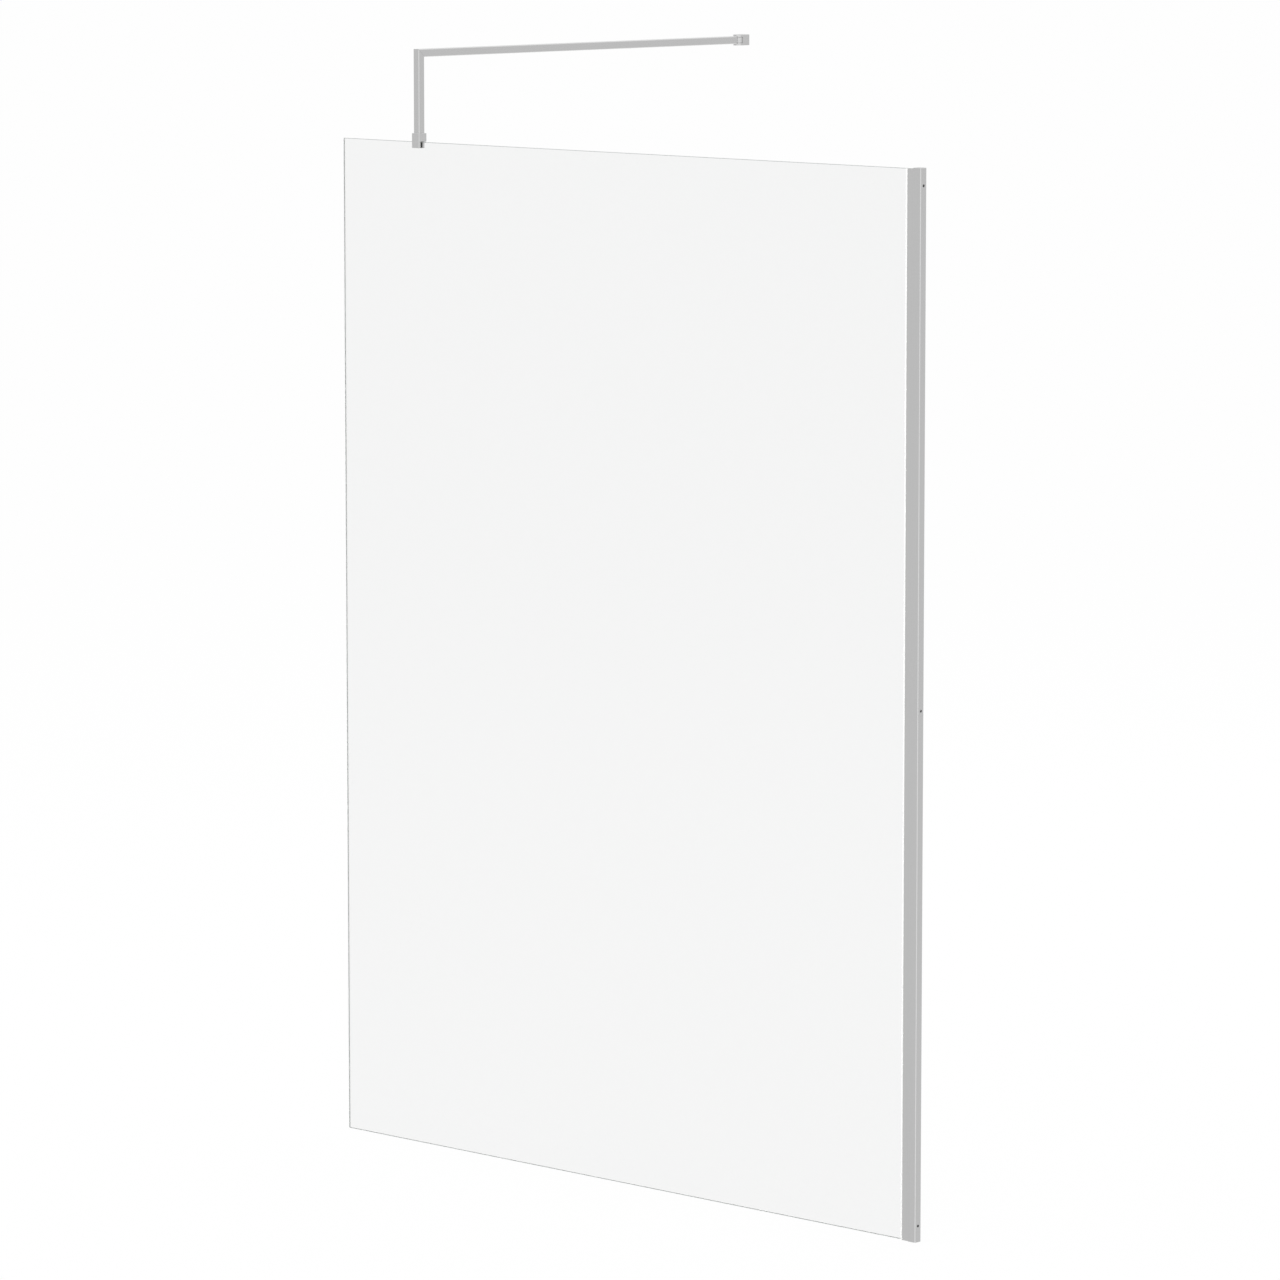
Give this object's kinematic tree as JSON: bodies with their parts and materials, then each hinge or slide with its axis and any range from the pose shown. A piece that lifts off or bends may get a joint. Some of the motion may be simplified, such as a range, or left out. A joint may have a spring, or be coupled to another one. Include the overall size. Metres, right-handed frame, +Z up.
{
  "type": "walk-in shower screen",
  "caption": "Clear glass walk-in shower screen with an adjustable wall profile and a raised square support arm that ends in a swivel wall bracket.",
  "frame": {"origin": "wall face of the wall profile, at the middle of the glass thickness, at floor level", "axes": "+X into the wall that carries the profile, +Y along the support arm into the shower, +Z up"},
  "size_m": [1.495, 0.926, 2.1303],
  "materials": {
    "aluminium_profile": "satin anodised, fine vertical drawing lines",
    "aluminium_tube": "satin anodised square tube",
    "fitting_metal": "satin, softened edges",
    "cap_metal": "satin",
    "inner_metal": "machined, plain",
    "screw_steel": "stainless steel",
    "clear_glass": "clear toughened glass, polished edges",
    "clear_seal": "milky clear soft strip",
    "black_rubber": "soft black rubber",
    "washer_plastic": "white nylon"
  },
  "bodies": {
    "wall_channel": {"wall_profile": "aluminium_profile", "profile_top_cap": "cap_metal"},
    "panel": {"glazing_profile": "aluminium_profile", "glass_panel": "clear_glass", "gasket_outside": "clear_seal", "gasket_inside": "clear_seal", "edge_spacers": "black_rubber", "lock_screws": "screw_steel", "lock_washers": "screw_steel", "lock_nuts": "screw_steel"},
    "clamp": {"clamp_body": "fitting_metal", "clamp_front_pad": "black_rubber", "clamp_top_pad": "black_rubber", "post_set_screw": "screw_steel"},
    "clamp_jaw": {"pressure_plate": "inner_metal", "pressure_pad": "black_rubber"},
    "jaw_screw": {"clamp_screw": "screw_steel"},
    "arm": {"post_tube": "aluminium_tube", "bar_tube": "aluminium_tube", "corner_key": "inner_metal", "corner_key_screws": "screw_steel", "bar_end_plug": "fitting_metal", "bar_end_screw": "screw_steel"},
    "wall_bracket": {"bracket_body": "fitting_metal", "pivot_screw": "screw_steel", "pivot_washers": "washer_plastic", "bracket_wall_disc": "inner_metal", "bracket_lock_screw": "screw_steel"}
  },
  "joints": [
    {"name": "panel_adjust", "type": "slide", "parent": "wall_channel", "child": "panel", "axis": [1, 0, 0], "range_m": [-0.004, 0.004]},
    {"name": "clamp_slide", "type": "slide", "parent": "panel", "child": "clamp", "axis": [1, 0, 0], "range_m": [-0.195, 0.3]},
    {"name": "jaw_press", "type": "slide", "parent": "clamp", "child": "clamp_jaw", "axis": [0, 1, 0], "range_m": [0, 0.0008]},
    {"name": "jaw_screw_turn", "type": "hinge", "parent": "clamp_jaw", "child": "jaw_screw", "pos_m": [-1.29, 0, 1.94415], "axis": [0, 1, 0], "range_deg": [0, 360]},
    {"name": "post_lift", "type": "slide", "parent": "clamp", "child": "arm", "axis": [0, 0, 1], "range_m": [0, 0.005]},
    {"name": "bracket_swivel", "type": "hinge", "parent": "arm", "child": "wall_bracket", "pos_m": [-1.29, 0.896, 2.1195], "axis": [0, 0, 1], "range_deg": [-60, 60]}
  ],
  "couplings": [
    {"joint": "jaw_screw_turn", "follows": "jaw_press", "rad_per_m": 7854}
  ]
}
